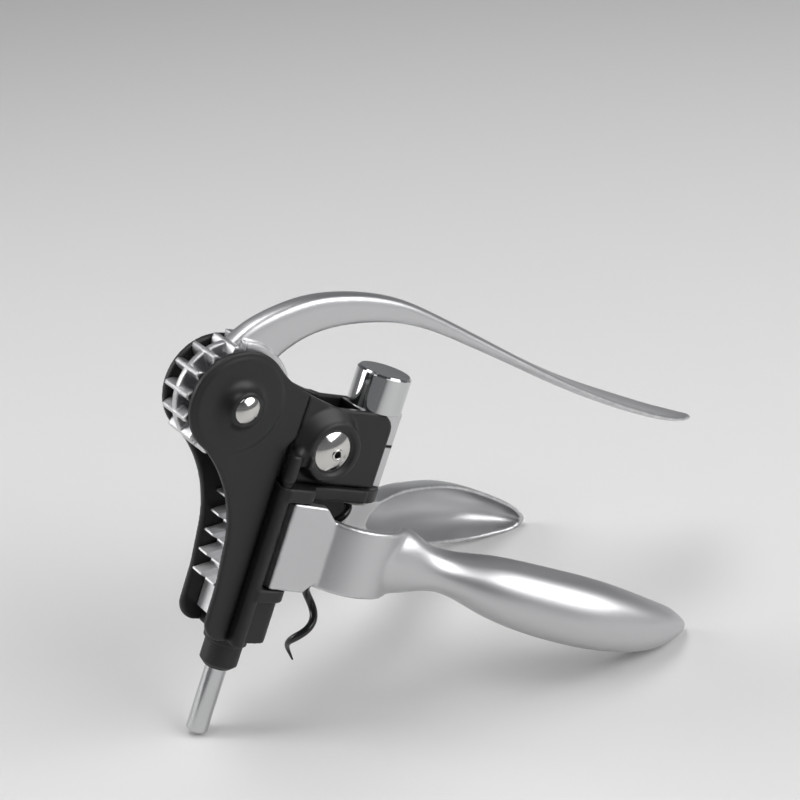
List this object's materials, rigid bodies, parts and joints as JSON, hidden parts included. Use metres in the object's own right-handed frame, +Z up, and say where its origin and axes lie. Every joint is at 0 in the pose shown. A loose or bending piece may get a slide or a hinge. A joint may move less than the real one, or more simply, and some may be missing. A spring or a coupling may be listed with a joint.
{
  "type": "lever corkscrew",
  "caption": "Hand-held lever corkscrew: a geared lever drives a rack and worm carriage through a yoke, above two hinged jaw handles that grip a bottle neck.",
  "frame": {"origin": "bottom centre of the bounding box, on the plane that the rod's tip and both handles rest on", "axes": "+X forward, from the gear towards the lever's and handles' tips; +Y towards the far handle; +Z up from the resting plane"},
  "size_m": [0.2056, 0.1088, 0.1377],
  "materials": {
    "silver_casting": "fine satin, blasted",
    "bright_steel": "bright machined",
    "black_coat": "satin black coat",
    "black_worm": "smooth black non-stick coat",
    "black_plastic": "fine matte moulding",
    "chrome": "polished plating",
    "rivet": "polished nickel",
    "bearing_plastic": "plain low-friction moulding",
    "pad": "smooth soft rubber"
  },
  "bodies": {
    "frame": {"near_side_plate": "black_coat", "far_side_plate": "black_coat", "frame_body": "black_coat", "rod_collar": "black_plastic", "worm_nut": "bearing_plastic", "axle_pin": "rivet", "near_hinge_pin": "bright_steel", "far_hinge_pin": "bright_steel"},
    "lever_body": {"lever": "silver_casting", "lever_bush": "bearing_plastic"},
    "carriage": {"rack": "bright_steel", "guide_rod": "chrome", "near_guide_post": "black_coat", "far_guide_post": "black_coat", "carriage_core": "silver_casting", "front_strip": "bright_steel", "near_carriage_shell": "black_coat", "far_carriage_shell": "black_coat", "carriage_pin": "rivet", "worm_bearing": "bearing_plastic", "cap": "chrome"},
    "worm_body": {"worm": "black_worm", "worm_collar": "bright_steel"},
    "near_jaw": {"near_handle": "silver_casting", "near_jaw_pad": "pad"},
    "far_jaw": {"far_handle": "silver_casting", "far_jaw_pad": "pad"}
  },
  "joints": [
    {"name": "lever_hinge", "type": "hinge", "parent": "frame", "child": "lever_body", "pos_m": [-0.08449, 0, 0.11386], "axis": [0, -1, 0], "range_deg": [0, 165]},
    {"name": "carriage_slide", "type": "slide", "parent": "frame", "child": "carriage", "axis": [0.3709, 0, 0.9287], "range_m": [0, 0.0446]},
    {"name": "worm_spin", "type": "hinge", "parent": "carriage", "child": "worm_body", "pos_m": [-0.03991, 0, 0.07451], "axis": [0.3709, 0, 0.9287], "range_deg": [0, 798]},
    {"name": "near_jaw_hinge", "type": "hinge", "parent": "frame", "child": "near_jaw", "pos_m": [-0.07129, -0.0095, 0.06335], "axis": [-0.3709, 0, -0.9287], "range_deg": [-9.5, 20]},
    {"name": "far_jaw_hinge", "type": "hinge", "parent": "frame", "child": "far_jaw", "pos_m": [-0.07129, 0.0095, 0.06335], "axis": [0.3709, 0, 0.9287], "range_deg": [-9.5, 20]}
  ],
  "couplings": [
    {"joint": "carriage_slide", "follows": "lever_hinge", "m_per_rad": 0.015375},
    {"joint": "worm_spin", "follows": "lever_hinge", "ratio": 4.8302}
  ]
}
